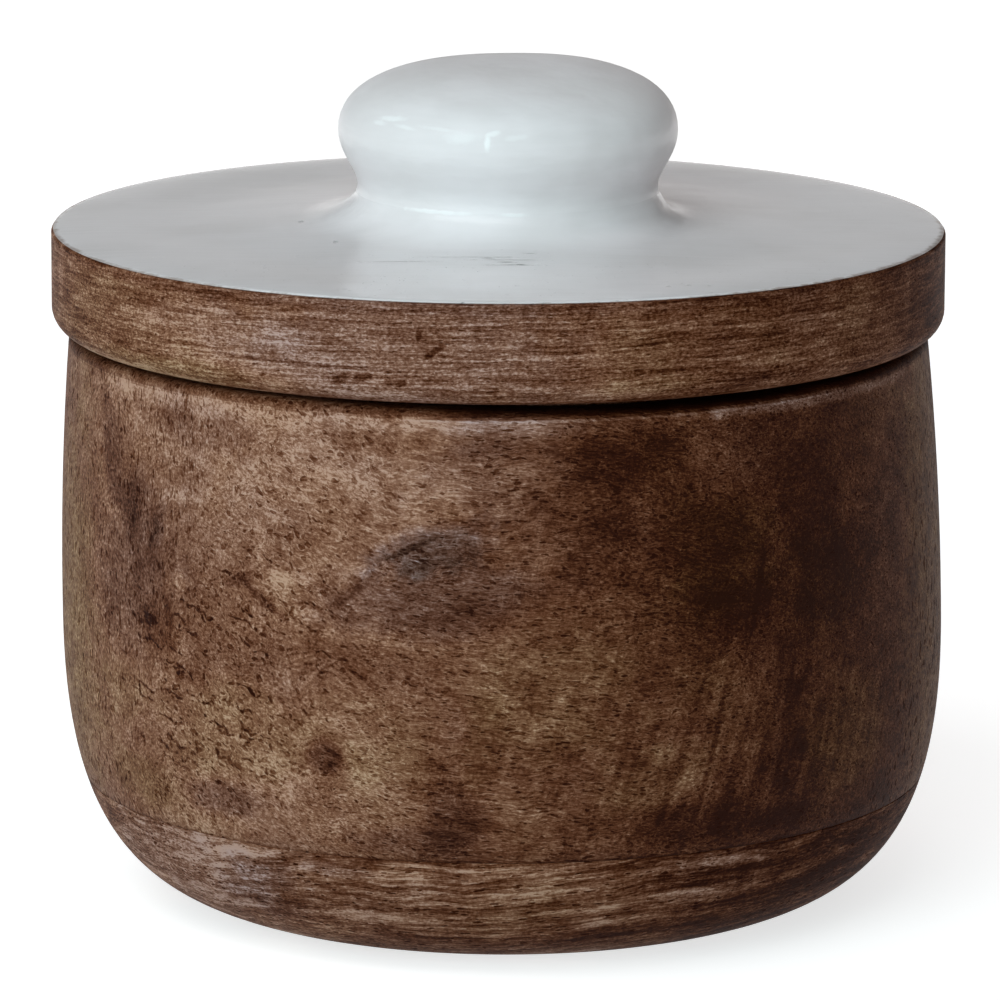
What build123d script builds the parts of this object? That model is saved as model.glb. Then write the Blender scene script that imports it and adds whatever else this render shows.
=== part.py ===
from build123d import *
from math import radians, tan
import os

# A squat turned salt box of stained wood with a lift-off lid.
#
# The jar is a bored block glued to a thicker base board, and the two were turned together, so one
# outline runs across the glue line.  The lid is a single board: a flange that overhangs the rim and
# a plug that drops into the mouth.  A turned knob stands on it, held by one countersunk screw driven
# up through the board.  White enamel covers the top of the board, the cove round the knob and the
# knob itself as one continuous skin.
#
# Millimetres, +Z up, origin at the centre of the foot.

# Jar, outside
rim_radius = 61.0
body_height = 81.5
belly_bulge = 1.9  # the widest point stands out from the rim by this
belly_height = 40.0
foot_radius = 40.0
heel_rise = 2.5  # how gently the heel leaves the foot
heel_fullness = 0.77  # how far the heel bulges from foot to belly, 0 straight, 1 square
belly_fullness = 0.56  # the share of the belly's height over which it stays nearly upright
rim_round = 1.2

# Jar, inside
base_thickness = 18.0  # of the board, so the glue line shows at this height
rim_wall = 7.5  # thickness of the wall at the rim; the bore is straight
dish_depth = 5.0  # the bore runs on into the base board
dish_round = 3.5

# Lid
lid_overhang = 2.5  # past the rim, all round
flange_thickness = 14.25  # from the seat to the bare top of the board
flange_under_round = 4.0
flange_top_round = 1.0
seat_width = 5.0  # ring next to the plug that lies on the rim
shadow_gap = 0.8  # the flange is relieved by this outside the seat
plug_depth = 6.0
plug_clearance = 0.8  # between the plug and the mouth, all round
plug_round = 1.0

# Knob, bare wood, with heights above the board
cap_radius = 23.6
cap_height = 14.2
neck_inset = 4.5  # the neck starts this far inside the cap ...
flare_inset = 1.2  # ... and leans out towards this far inside it ...
flare_height = 12.3  # ... at this height, before it turns upright
cap_under = 1.6  # how tightly the cap's edge turns below its widest point
cap_edge = 8.3  # and above it
crown_radius = 10.4  # the top is nearly flat inside this radius
knob_height = 24.0

# Enamel
enamel_thickness = 0.5
enamel_setback = 1.1  # bare wood left at the board's edge
enamel_edge_round = 0.3
cove_radius = 3.2  # where the enamel fills the corner between board and knob

# Screw, a countersunk No. 8
screw_radius = 2.1
screw_length = 30.0
screw_head_radius = 4.1
countersink_angle = 90.0
screw_point_length = 4.0
screw_hole_clearance = 0.3  # in the board only, because the thread bites in the knob
recess_span = 4.4
recess_width = 1.0
recess_depth = 1.5

# Places that follow from the sizes above
belly_radius = rim_radius + belly_bulge
mouth_radius = rim_radius - rim_wall
lid_radius = rim_radius + lid_overhang
neck_radius = cap_radius - neck_inset
flare_radius = cap_radius - flare_inset
board_top_z = body_height + flange_thickness
plug_bottom_z = body_height - plug_depth
plug_radius = mouth_radius - plug_clearance
seat_radius = plug_radius + seat_width
flange_under_z = body_height + shadow_gap
enamel_top_z = board_top_z + enamel_thickness
enamel_radius = lid_radius - enamel_setback
screw_tip_z = plug_bottom_z + screw_length
screw_head_depth = (screw_head_radius - screw_radius) / tan(radians(countersink_angle / 2))
glue_plane = Plane.XY.offset(base_thickness)
facing_down = (180, 0, 0)


def turned_blank():
    """The jar before it is bored: everything inside its outline."""
    with BuildPart() as blank:
        with BuildSketch(Plane.XZ):
            with BuildLine():
                foot = Line((0, 0), (foot_radius, 0))
                heel = Bezier(
                    foot @ 1,
                    (foot_radius + heel_fullness * (belly_radius - foot_radius), heel_rise),
                    (belly_radius, belly_height * (1 - belly_fullness)),
                    (belly_radius, belly_height),
                )
                flank = TangentArc(heel @ 1, (rim_radius, body_height), tangent=heel % 1)
                Polyline(flank @ 1, (0, body_height), foot @ 0)
            make_face()
        revolve(axis=Axis.Z)
    return blank.part


def knob_face(growth):
    """Half section of the knob above the board, grown outwards by growth."""
    with BuildSketch(Plane.XZ) as face:
        with BuildLine():
            bottom = Line((0, board_top_z), (neck_radius + growth, board_top_z))
            flare = Bezier(
                bottom @ 1,
                (flare_radius + growth, board_top_z + flare_height),
                (cap_radius + growth, board_top_z + cap_height - cap_under),
                (cap_radius + growth, board_top_z + cap_height),
            )
            crown = Bezier(
                flare @ 1,
                (cap_radius + growth, board_top_z + cap_height + cap_edge),
                (crown_radius, board_top_z + knob_height + growth),
                (0, board_top_z + knob_height + growth),
            )
            Line(crown @ 1, bottom @ 0)
        make_face()
    return face.sketch_local


# Base board: the part of the blank below the glue line, with a shallow dish for a floor
with BuildPart() as base_disc:
    add(turned_blank())
    split(bisect_by=glue_plane, keep=Keep.BOTTOM)
    with Locations(glue_plane):
        Hole(mouth_radius, depth=dish_depth)
    floor_edge = base_disc.edges().filter_by(GeomType.CIRCLE).sort_by(Axis.Z)[1]
    fillet(floor_edge, dish_round)

# Wall: the part above the glue line, bored right through and rounded at the rim
with BuildPart() as body_wall:
    add(turned_blank())
    split(bisect_by=glue_plane, keep=Keep.TOP)
    with Locations((0, 0, body_height)):
        Hole(mouth_radius)
    fillet(body_wall.edges().group_by(Axis.Z)[-1], rim_round)

# Lid board: plug, seat, relieved flange and a countersunk hole for the screw
with BuildPart() as lid_board:
    with BuildSketch(Plane.XZ):
        with BuildLine():
            FilletPolyline(
                (0, plug_bottom_z),
                (plug_radius, plug_bottom_z),
                (plug_radius, body_height),
                (seat_radius, body_height),
                (seat_radius, flange_under_z),
                (lid_radius, flange_under_z),
                (lid_radius, board_top_z),
                (0, board_top_z),
                radius=(0, plug_round, 0, 0, 0, flange_under_round, flange_top_round, 0),
                close=True,
            )
        make_face()
    revolve(axis=Axis.Z)
    with Locations(Location((0, 0, plug_bottom_z), facing_down)):
        CounterSinkHole(
            screw_radius + screw_hole_clearance,
            screw_head_radius,
            counter_sink_angle=countersink_angle,
        )

# Knob: the bare wood, with a blind pilot hole that the screw fills
with BuildPart() as knob:
    with BuildSketch(Plane.XZ):
        add(knob_face(0))
    revolve(axis=Axis.Z)
    with Locations(Location((0, 0, board_top_z), facing_down)):
        Hole(screw_radius, depth=screw_tip_z - board_top_z)

# Enamel: a skin over board and knob, thicker in the cove between them
with BuildPart() as enamel_coat:
    with BuildSketch(Plane.XZ):
        add(knob_face(enamel_thickness))
        with Locations((0, board_top_z)):
            Rectangle(enamel_radius, enamel_thickness, align=Align.MIN)
        cove, edge = (
            vertices().sort_by_distance((radius, enamel_top_z))[0]
            for radius in (neck_radius + enamel_thickness, enamel_radius)
        )
        fillet(cove, cove_radius)
        fillet(edge, enamel_edge_round)
        add(knob_face(0), mode=Mode.SUBTRACT)
    revolve(axis=Axis.Z)

# Screw: head flush with the plug, shank up through the board into the knob
with BuildPart() as knob_screw:
    with BuildSketch(Plane.XZ):
        with BuildLine():
            Polyline(
                (0, plug_bottom_z),
                (screw_head_radius, plug_bottom_z),
                (screw_radius, plug_bottom_z + screw_head_depth),
                (screw_radius, screw_tip_z - screw_point_length),
                (0, screw_tip_z),
                close=True,
            )
        make_face()
    revolve(axis=Axis.Z)
    with BuildSketch(Plane.XY.offset(plug_bottom_z)):
        Rectangle(recess_span, recess_width)
        Rectangle(recess_width, recess_span)
    extrude(amount=recess_depth, mode=Mode.SUBTRACT)

base_disc.part.label = "base_disc"
body_wall.part.label = "body_wall"
lid_board.part.label = "lid_board"
knob.part.label = "knob"
enamel_coat.part.label = "enamel_coat"
knob_screw.part.label = "knob_screw"

os.makedirs("parts", exist_ok=True)
export_step(base_disc.part, "parts/base_disc.step")
export_step(body_wall.part, "parts/body_wall.step")
export_step(lid_board.part, "parts/lid_board.step")
export_step(knob.part, "parts/knob.step")
export_step(enamel_coat.part, "parts/enamel_coat.step")
export_step(knob_screw.part, "parts/knob_screw.step")
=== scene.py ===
import math

import bpy
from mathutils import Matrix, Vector


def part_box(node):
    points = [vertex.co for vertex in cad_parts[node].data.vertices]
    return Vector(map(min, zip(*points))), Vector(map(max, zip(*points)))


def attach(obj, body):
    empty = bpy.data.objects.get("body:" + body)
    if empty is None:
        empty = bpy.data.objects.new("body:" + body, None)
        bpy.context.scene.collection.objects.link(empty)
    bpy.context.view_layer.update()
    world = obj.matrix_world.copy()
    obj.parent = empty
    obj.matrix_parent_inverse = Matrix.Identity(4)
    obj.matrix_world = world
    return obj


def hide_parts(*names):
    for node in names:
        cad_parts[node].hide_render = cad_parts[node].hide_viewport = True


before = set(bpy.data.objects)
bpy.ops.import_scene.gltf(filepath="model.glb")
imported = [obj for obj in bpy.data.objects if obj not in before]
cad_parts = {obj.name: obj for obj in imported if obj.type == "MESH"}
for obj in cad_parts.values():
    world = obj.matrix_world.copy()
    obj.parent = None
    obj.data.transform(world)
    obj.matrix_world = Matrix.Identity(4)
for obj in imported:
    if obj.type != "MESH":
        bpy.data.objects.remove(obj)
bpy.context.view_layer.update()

mm = 0.001
poleHole = 0.5 * mm      # radius of the last ring of an outline, before it is closed
weldReach = 0.002 * mm
smoothAngle = 50         # edges that turn by less than this look smooth
tiltRoom = 0.06 * mm     # by which the tilted lid is made smaller, to stay in its box

print("frame loaded:", ", ".join(sorted(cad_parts)))

# places taken from the frame, in metres
lidLow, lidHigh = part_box("lid_board")
_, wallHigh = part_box("body_wall")
_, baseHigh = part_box("base_disc")

bellyRadius = wallHigh.x
rimHeight = wallHigh.z
glueHeight = baseHigh.z
lidRadius = lidHigh.x - tiltRoom
boardTop = lidHigh.z
plugBottom = lidLow.z


def startFresh():
    # operators act on everything that is selected, so nothing is
    if bpy.context.object and bpy.context.object.mode != "OBJECT":
        bpy.ops.object.mode_set(mode="OBJECT")
    bpy.ops.object.select_all(action="DESELECT")


def bezier(controls, share):
    a, b, c, d = controls
    rest = 1 - share
    weights = (rest ** 3, 3 * rest ** 2 * share, 3 * rest * share ** 2, share ** 3)
    return tuple(sum(w * p[i] for w, p in zip(weights, (a, b, c, d))) for i in (0, 1))


def bezierRun(controls, steps, skipFirst=True):
    return [bezier(controls, i / steps) for i in range(1 if skipFirst else 0, steps + 1)]


def roundCorner(corner, before, after, radius, steps=5):
    # points of a quarter-like round between two straight runs that meet at corner
    corner, before, after = Vector(corner), Vector(before), Vector(after)
    start = corner + (before - corner).normalized() * radius
    end = corner + (after - corner).normalized() * radius
    points = []
    for i in range(steps + 1):
        share = i / steps
        # a rational quarter arc, so the round is a true circle on square corners
        w = math.sqrt(0.5)
        b0, b1, b2 = (1 - share) ** 2, 2 * share * (1 - share) * w, share ** 2
        points.append(tuple((start * b0 + corner * b1 + end * b2) / (b0 + b1 + b2)))
    return points


def turnRings(name, outline, sides, shift=lambda z: (0.0, 0.0)):
    # a circle is extruded ring by ring along the outline, as a lathe would leave it
    startFresh()
    radius, height = outline[0]
    x, y = shift(height)
    bpy.ops.mesh.primitive_circle_add(
        vertices=sides, radius=radius, fill_type="NOTHING", location=(x, y, height)
    )
    piece = bpy.context.object
    piece.name = name
    bpy.ops.object.transform_apply(location=True, rotation=True, scale=True)
    bpy.ops.object.mode_set(mode="EDIT")
    bpy.ops.mesh.select_all(action="SELECT")
    for nextRadius, nextHeight in outline[1:]:
        nextX, nextY = shift(nextHeight)
        step = (nextX - x, nextY - y, nextHeight - height)
        bpy.ops.mesh.extrude_region_move(TRANSFORM_OT_translate={"value": step})
        growth = nextRadius / radius
        bpy.ops.transform.resize(
            value=(growth, growth, 1), center_override=(nextX, nextY, nextHeight)
        )
        radius, height, x, y = nextRadius, nextHeight, nextX, nextY
    return piece


def selectNear(piece, wanted):
    # leaves exactly those points selected for which wanted(place) is true
    bpy.ops.object.mode_set(mode="EDIT")
    bpy.ops.mesh.select_all(action="DESELECT")
    bpy.ops.object.mode_set(mode="OBJECT")
    for vertex in piece.data.vertices:
        vertex.select = wanted(vertex.co)
    bpy.ops.object.mode_set(mode="EDIT")


def closePoles(piece, middle):
    # the last ring, still selected, becomes a point, and so does the first, round middle
    bpy.ops.mesh.merge(type="CENTER")
    middle = Vector(middle)
    selectNear(piece, lambda place: (place - middle).length < 2 * poleHole
               and abs(place.z - middle.z) < 5 * weldReach)
    bpy.ops.mesh.merge(type="CENTER")


def tiltPiece(piece, degrees, height):
    # hand fitted: the piece leans a fraction of a degree to the right
    bpy.ops.object.mode_set(mode="EDIT")
    bpy.ops.mesh.select_all(action="SELECT")
    bpy.ops.transform.rotate(
        value=math.radians(-degrees), orient_axis="Y", center_override=(0, 0, height)
    )


def pushSoftly(piece, centre, reach, step, nearest):
    # moves the points nearest to centre, and less and less of what lies around them
    selectNear(piece, lambda place: (place - Vector(centre)).length < nearest)
    bpy.ops.transform.translate(
        value=step, use_proportional_edit=True, proportional_edit_falloff="SMOOTH",
        proportional_size=reach, use_proportional_connected=False,
    )


def finishPiece(piece, body, material, slot, *nodes):
    bpy.ops.object.mode_set(mode="EDIT")
    bpy.ops.mesh.select_all(action="SELECT")
    bpy.ops.mesh.remove_doubles(threshold=weldReach)
    bpy.ops.mesh.normals_make_consistent(inside=False)
    bpy.ops.object.mode_set(mode="OBJECT")
    bpy.ops.object.shade_smooth_by_angle(angle=math.radians(smoothAngle))
    piece.data.materials.clear()
    piece.data.materials.append(material)
    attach(piece, body)
    if nodes:
        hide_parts(*nodes)


mixSockets = {"share": 0, "first": 6, "second": 7, "result": 2}   # of a Mix node for colours


def feed(tree, node, inputs):
    # each input is either set or linked
    for key, value in inputs.items():
        if isinstance(value, bpy.types.NodeSocket):
            tree.links.new(value, node.inputs[key])
        else:
            node.inputs[key].default_value = value
    return node


def put(tree, kind, inputs=None, **settings):
    # one node with its settings and its inputs
    node = tree.nodes.new("ShaderNode" + kind)
    for name, value in settings.items():
        setattr(node, name, value)
    return feed(tree, node, inputs or {})


def maths(tree, operation, *values, clamp=False):
    node = put(tree, "Math", dict(enumerate(values)), operation=operation, use_clamp=clamp)
    return node.outputs[0]


def addUp(tree, start, *parts):
    # start plus each value times its weight
    total = start
    for value, weight in parts:
        total = maths(tree, "MULTIPLY_ADD", value, weight, total)
    return total


def weigh(tree, start, values, weights):
    # the same, with the values and their weights matched by name
    return addUp(tree, start, *((values[name], weights[name]) for name in weights))


def vectors(tree, operation, *values, result="Vector"):
    node = put(tree, "VectorMath", dict(enumerate(values)), operation=operation)
    return node.outputs[result]


def scaled(tree, vector, amount):
    node = put(tree, "VectorMath", {0: vector, "Scale": amount}, operation="SCALE")
    return node.outputs[0]


def turnedTo(tree, place, turn, size=(1.0, 1.0, 1.0)):
    # place in a pattern's own directions, and in steps of its size
    inputs = {"Vector": place, "Rotation": turn, "Scale": size}
    return put(tree, "Mapping", inputs, vector_type="TEXTURE").outputs[0]


def between(tree, value, low, high, outLow=0.0, outHigh=1.0):
    # a soft step from outLow at low to outHigh at high
    inputs = {"Value": value, "From Min": low, "From Max": high,
              "To Min": outLow, "To Max": outHigh}
    node = put(tree, "MapRange", inputs, interpolation_type="SMOOTHSTEP")
    return node.outputs["Result"]


def noise(tree, place, scale, detail=2.0, roughness=0.5, result="Fac"):
    inputs = {"Vector": place, "Scale": scale, "Detail": detail, "Roughness": roughness}
    return put(tree, "TexNoise", inputs).outputs[result]


def stretched(tree, place, scales, detail=2.0, roughness=0.5):
    # a noise with its own scale along each axis
    return noise(tree, vectors(tree, "MULTIPLY", place, scales), 1.0, detail, roughness)


def centred(tree, value):
    # from 0 ... 1 to -1 ... 1
    return maths(tree, "MULTIPLY_ADD", value, 2.0, -1.0)


def wandered(tree, place, scale, detail, amount):
    # place, pushed about by a smooth noise
    push = vectors(tree, "SUBTRACT", noise(tree, place, scale, detail, result="Color"),
                   (0.5, 0.5, 0.5))
    return vectors(tree, "ADD", place, scaled(tree, push, amount))


def blend(tree, share, first, second, kind="MIX"):
    node = put(tree, "Mix", data_type="RGBA", blend_type=kind)
    values = {"share": share, "first": first, "second": second}
    feed(tree, node, {mixSockets[name]: value for name, value in values.items()})
    return node.outputs[mixSockets["result"]]


def newGroup(name, inputs, outputs):
    # inputs: name -> start value, a number or three of them; outputs: name -> socket kind
    group = bpy.data.node_groups.new(name, "ShaderNodeTree")
    for socketName, value in inputs.items():
        kind = "NodeSocketVector" if isinstance(value, tuple) else "NodeSocketFloat"
        socket = group.interface.new_socket(socketName, in_out="INPUT", socket_type=kind)
        socket.default_value = value
    for socketName, kind in outputs.items():
        group.interface.new_socket(
            socketName, in_out="OUTPUT", socket_type="NodeSocket" + kind
        )
    start = group.nodes.new("NodeGroupInput")
    end = group.nodes.new("NodeGroupOutput")
    return group, start.outputs, end


def useGroup(tree, group, values):
    node = tree.nodes.new("ShaderNodeGroup")
    node.node_tree = group
    return feed(tree, node, values).outputs


def stepsRamp(tree, share, steps, kind="LINEAR"):
    # steps: position -> level, or colour, in order
    ramp = put(tree, "ValToRGB", {"Fac": share})
    ramp.color_ramp.interpolation = kind
    stops = ramp.color_ramp.elements
    rgba = [(place, (*value, 1) if isinstance(value, tuple) else (value,) * 3 + (1,))
            for place, value in steps]
    for stop, (place, colour) in zip((stops[0], stops[1]), (rgba[0], rgba[-1])):
        stop.position, stop.color = place, colour
    for place, colour in rgba[1:-1]:
        stops.new(place).color = colour
    return ramp.outputs["Color"]


def objectMillimetres(tree):
    where = put(tree, "TexCoord").outputs["Object"]
    return vectors(tree, "MULTIPLY", where, (1 / mm, 1 / mm, 1 / mm))


def newMaterial(name, look):
    material = bpy.data.materials.new(name)
    material.use_nodes = True
    shader = material.node_tree.nodes["Principled BSDF"]
    shader.inputs["Roughness"].default_value = look["roughness"]
    shader.inputs["Specular IOR Level"].default_value = look["specular"]
    return material, material.node_tree, shader.inputs


# the woods are in millimetres, with their fibres along X
woodStain = {
    # tone 0 is the darkest stain and 1 bare pale wood
    "tones": (
        (0.0, (0.021, 0.0042, 0.0014)), (0.22, (0.0505, 0.0128, 0.0043)),
        (0.45, (0.112, 0.0378, 0.0162)), (0.7, (0.212, 0.0960, 0.0540)),
        (0.88, (0.343, 0.184, 0.119)), (1.0, (0.480, 0.295, 0.208)),
    ),
    # hue 1 is olive, -1 purplish and -2 grey: slope and offset of each one's share
    "hues": (
        (1.0, 0.0, (0.945, 1.065, 0.87)), (-1.0, 0.0, (0.96, 1.10, 1.42)),
        (-1.0, -1.0, (0.88, 1.12, 1.38)),
    ),
    "mottledHue": 0.6,       # how far the mottling shifts the hue
    "shaken": 5.0,           # millimetres that the change of tone round a block wanders
    "grittyEdges": 0.2,      # how much the grit roughens the edges of patches
    "dullPores": 0.2,        # how much rougher the pores are, and smoother the pale wood
    "smoothPale": 0.06,
    "bump": 0.6,
    "bumpDepth": 0.12 * mm,
}

woodPattern = {
    # in half widths from its middle: where a patch is gone, and where it is all there
    "patchEdge": (1.35, 0.45),
    "poreEdge": 0.10,
    "rimWidth": 0.16,
    "unevenness": 0.8,       # of the pores, which are closer here and sparser there
    # scales, in steps to a millimetre: of that, of the bending of the fine grain, and of
    # the broad bend in the figure and the ripple on it
    "unevenScale": 0.9,
    "grainBend": 0.45,
    "bend": 0.035,
    "ripple": 0.14,
    "rippleShare": 0.22,
}


def makeTurnedPlace():
    # where a point lies on a turned surface: how far round from the front, and how high
    group, _, end = newGroup("turnedPlace", {}, {"Arc": "Float", "Height": "Float"})
    split = put(group, "SeparateXYZ", {0: objectMillimetres(group)}).outputs
    turn = maths(group, "ARCTAN2", split["X"], maths(group, "MULTIPLY", split["Y"], -1.0))
    arc = maths(group, "MULTIPLY", turn, bellyRadius / mm)
    feed(group, end, {"Arc": arc, "Height": split["Z"]})
    return group


def makePatch():
    # one soft-edged oval of stain, bleaching or painted light, added to the tone and hue so
    # far
    group, start, end = newGroup(
        "stainAndLightPatch",
        {"Arc": 0.0, "Height": 0.0, "Centre": (0.0, 0.0, 0.0), "Along": (0.1, 0.0, 0.0),
         "Across": (0.0, 0.1, 0.0), "Ragged": 0.0, "Tone": 0.0, "Hue": 0.0,
         "Tone Shift": 0.0, "Hue Shift": 0.0},
        {"Tone": "Float", "Hue": "Float"},
    )
    place = put(group, "CombineXYZ", {"X": start["Arc"], "Y": start["Height"]}).outputs[0]
    offset = vectors(group, "SUBTRACT", place, start["Centre"])
    local = put(group, "CombineXYZ", {
        "X": vectors(group, "DOT_PRODUCT", offset, start["Along"], result="Value"),
        "Y": vectors(group, "DOT_PRODUCT", offset, start["Across"], result="Value"),
    }).outputs[0]
    away = maths(group, "ADD", vectors(group, "LENGTH", local, result="Value"),
                 start["Ragged"])
    mask = between(group, away, *woodPattern["patchEdge"])
    feed(group, end, {
        name: maths(group, "MULTIPLY_ADD", mask, start[name + " Shift"], start[name])
        for name in ("Tone", "Hue")})
    return group


def makeGrain():
    # the finest marks, all along one direction: open pores and the fibres between them
    group, start, end = newGroup(
        "woodGrain",
        {"Turn": (0.0, 0.0, 0.0), "Pore Size": (2.2, 0.7, 0.7), "Pore Share": 0.35,
         "Fibre Size": (1.1, 0.2, 0.2), "Wander": 1.0},
        {"Pores": "Float", "Rims": "Float", "Fibres": "Float"},
    )
    place = wandered(group, objectMillimetres(group), woodPattern["grainBend"], 1.0,
                     start["Wander"])
    local = turnedTo(group, place, start["Turn"])
    away = put(group, "TexVoronoi", {
        "Vector": vectors(group, "DIVIDE", local, start["Pore Size"]), "Scale": 1.0,
    }).outputs["Distance"]
    uneven = maths(
        group, "SUBTRACT", noise(group, place, woodPattern["unevenScale"], 1.0), 0.5)
    share = addUp(group, start["Pore Share"], (uneven, woodPattern["unevenness"]))
    inside = maths(group, "SUBTRACT", share, away)
    pores = between(group, inside, 0.0, woodPattern["poreEdge"])
    rims = maths(group, "SUBTRACT", between(group, inside, -woodPattern["rimWidth"], 0.0),
                 pores, clamp=True)
    fibres = centred(group, noise(
        group, vectors(group, "DIVIDE", local, start["Fibre Size"]), 1.0, roughness=0.7))
    feed(group, end, {"Pores": pores, "Rims": rims, "Fibres": fibres})
    return group


def makeFigure():
    # the figure of the wood: broad mottling, layers along the fibres, fibres and grit
    group, start, end = newGroup(
        "woodFigure",
        {"Turn": (0.0, 0.0, 0.0), "Wander": 5.0, "Mottle Size": 12.0,
         "Layer Size": (60.0, 3.0, 3.0), "Fibre Size": (9.0, 0.45, 0.45), "Seed": 0.0},
        {"Mottle": "Float", "Blotch": "Float", "Layers": "Float", "Fibres": "Float",
         "Grit": "Float", "Ragged": "Float"},
    )
    place = vectors(group, "ADD", objectMillimetres(group), put(
        group, "CombineXYZ", {"X": start["Seed"], "Y": start["Seed"]}).outputs[0])
    bent = wandered(group, place, woodPattern["bend"], 2.0, start["Wander"])
    bent = wandered(group, bent, woodPattern["ripple"], 1.0, maths(
        group, "MULTIPLY", start["Wander"], woodPattern["rippleShare"]))
    mottlePlace = scaled(group, bent, maths(group, "DIVIDE", 1.0, start["Mottle Size"]))
    layerPlace = turnedTo(group, bent, start["Turn"], start["Layer Size"])
    fibrePlace = turnedTo(group, bent, start["Turn"], start["Fibre Size"])
    found = {
        "Mottle": noise(group, mottlePlace, 1.0, 3.0, 0.55),
        "Blotch": noise(group, mottlePlace, 3.4, 4.0, 0.62),
        "Layers": noise(group, layerPlace, 1.0, 3.0, 0.6),
        "Fibres": noise(group, fibrePlace, 1.0, 3.0, 0.6),
        "Grit": noise(group, bent, 2.3, 2.0, 0.6),
        "Ragged": noise(group, bent, 0.22, 4.0, 0.62),
    }
    feed(group, end, {name: centred(group, value) for name, value in found.items()})
    return group


def makeTones(stain):
    group, start, end = newGroup(
        "stainTones", {"Tone": 0.5, "Hue": 0.0}, {"Colour": "Color"}
    )
    colour = stepsRamp(group, start["Tone"], stain["tones"])
    for slope, offset, tint in stain["hues"]:
        share = maths(group, "MULTIPLY_ADD", start["Hue"], slope, offset, clamp=True)
        colour = blend(group, share, colour, (*tint, 1), "MULTIPLY")
    feed(group, end, {"Colour": colour})
    return group


turnedPlace = makeTurnedPlace()
stainAndLightPatch = makePatch()
woodGrain = makeGrain()
woodFigure = makeFigure()
stainTones = makeTones(woodStain)


def falling(angle):
    # the turn of a pattern that falls to the right by angle degrees
    return (0.0, math.radians(angle), 0.0)


def oval(at, size, turn=0.0, lift=0.0):
    # the inputs that place a patch: its centre, and its two axes over its half widths
    cosine, sine = math.cos(math.radians(turn)), math.sin(math.radians(turn))
    return {
        "Centre": (at[0], at[1] + lift, 0.0),
        "Along": (cosine / size[0], sine / size[0], 0.0),
        "Across": (-sine / size[1], cosine / size[1], 0.0),
    }


def patch(at, size, tone=0.0, hue=0.0, turn=0.0):
    # arc from the front and height, half widths, and what is added to tone and hue
    return {"Tone Shift": tone, "Hue Shift": hue, **oval(at, size, turn)}


def paintPatches(tree, patches, where, ragged, tone, hue):
    for values in patches:
        painted = useGroup(tree, stainAndLightPatch, {
            **where, "Ragged": ragged, "Tone": tone, "Hue": hue, **values})
        tone, hue = painted["Tone"], painted["Hue"]
    return tone, hue


def insideOval(tree, where, ragged, at, size):
    # 1 inside the oval and 0 outside, with the edge of a patch
    values = {**where, "Ragged": ragged, "Tone Shift": 1.0, **oval(at, size)}
    return useGroup(tree, stainAndLightPatch, values)["Tone"]


def toneRound(tree, arc, shake, levels):
    # the tone of a block on the way round it, from the back by way of the front
    halfRound = math.pi * bellyRadius / mm
    share = put(tree, "MapRange", {
        "Value": addUp(tree, arc, (shake, woodStain["shaken"])),
        "From Min": -halfRound, "From Max": halfRound}).outputs["Result"]
    return stepsRamp(tree, share, levels, "B_SPLINE")


def findGrain(tree, grain):
    marks = useGroup(tree, woodGrain, {
        "Turn": falling(grain["turn"]), "Pore Size": grain["pore"],
        "Pore Share": grain["share"], "Fibre Size": grain["fibre"],
        "Wander": grain["wander"],
    })
    return {"pores": marks["Pores"], "rims": marks["Rims"], "hairs": marks["Fibres"]}


def startWood(tree, wood):
    # what every turned block has: its place, its figure, and its painted tone and hue
    where = dict(useGroup(tree, turnedPlace, {}).items())
    figure = useGroup(tree, woodFigure, {
        "Turn": falling(wood["turn"]), "Wander": wood["wander"], "Seed": wood["seed"],
        "Mottle Size": wood["mottleSize"], "Layer Size": wood["layerSize"],
        "Fibre Size": wood["fibreSize"],
    })
    marks = {name.lower(): value for name, value in figure.items()}
    hue = addUp(tree, 0.0, (marks["mottle"], woodStain["mottledHue"]))
    marks["edges"] = addUp(tree, 0.0, (marks["ragged"], wood["raggedEdges"]),
                           (marks["grit"], woodStain["grittyEdges"]))
    tone = toneRound(tree, where["Arc"], marks["ragged"], wood["round"])
    tone, hue = paintPatches(tree, wood["patches"], where, marks["edges"], tone, hue)
    return where, marks, tone, hue


def finishWood(tree, inputs, tone, hue, marks, wood):
    tone = weigh(tree, tone, marks, wood["marks"])
    colour = useGroup(tree, stainTones, {"Tone": tone, "Hue": hue})["Colour"]
    tree.links.new(colour, inputs["Base Color"])
    roughness = addUp(tree, wood["roughness"], (marks["pores"], woodStain["dullPores"]),
                      (tone, -woodStain["smoothPale"]))
    tree.links.new(roughness, inputs["Roughness"])
    bump = put(tree, "Bump", {
        "Strength": woodStain["bump"], "Distance": woodStain["bumpDepth"],
        "Height": weigh(tree, 0.0, marks, wood["relief"])})
    tree.links.new(bump.outputs[0], inputs["Normal"])


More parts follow.
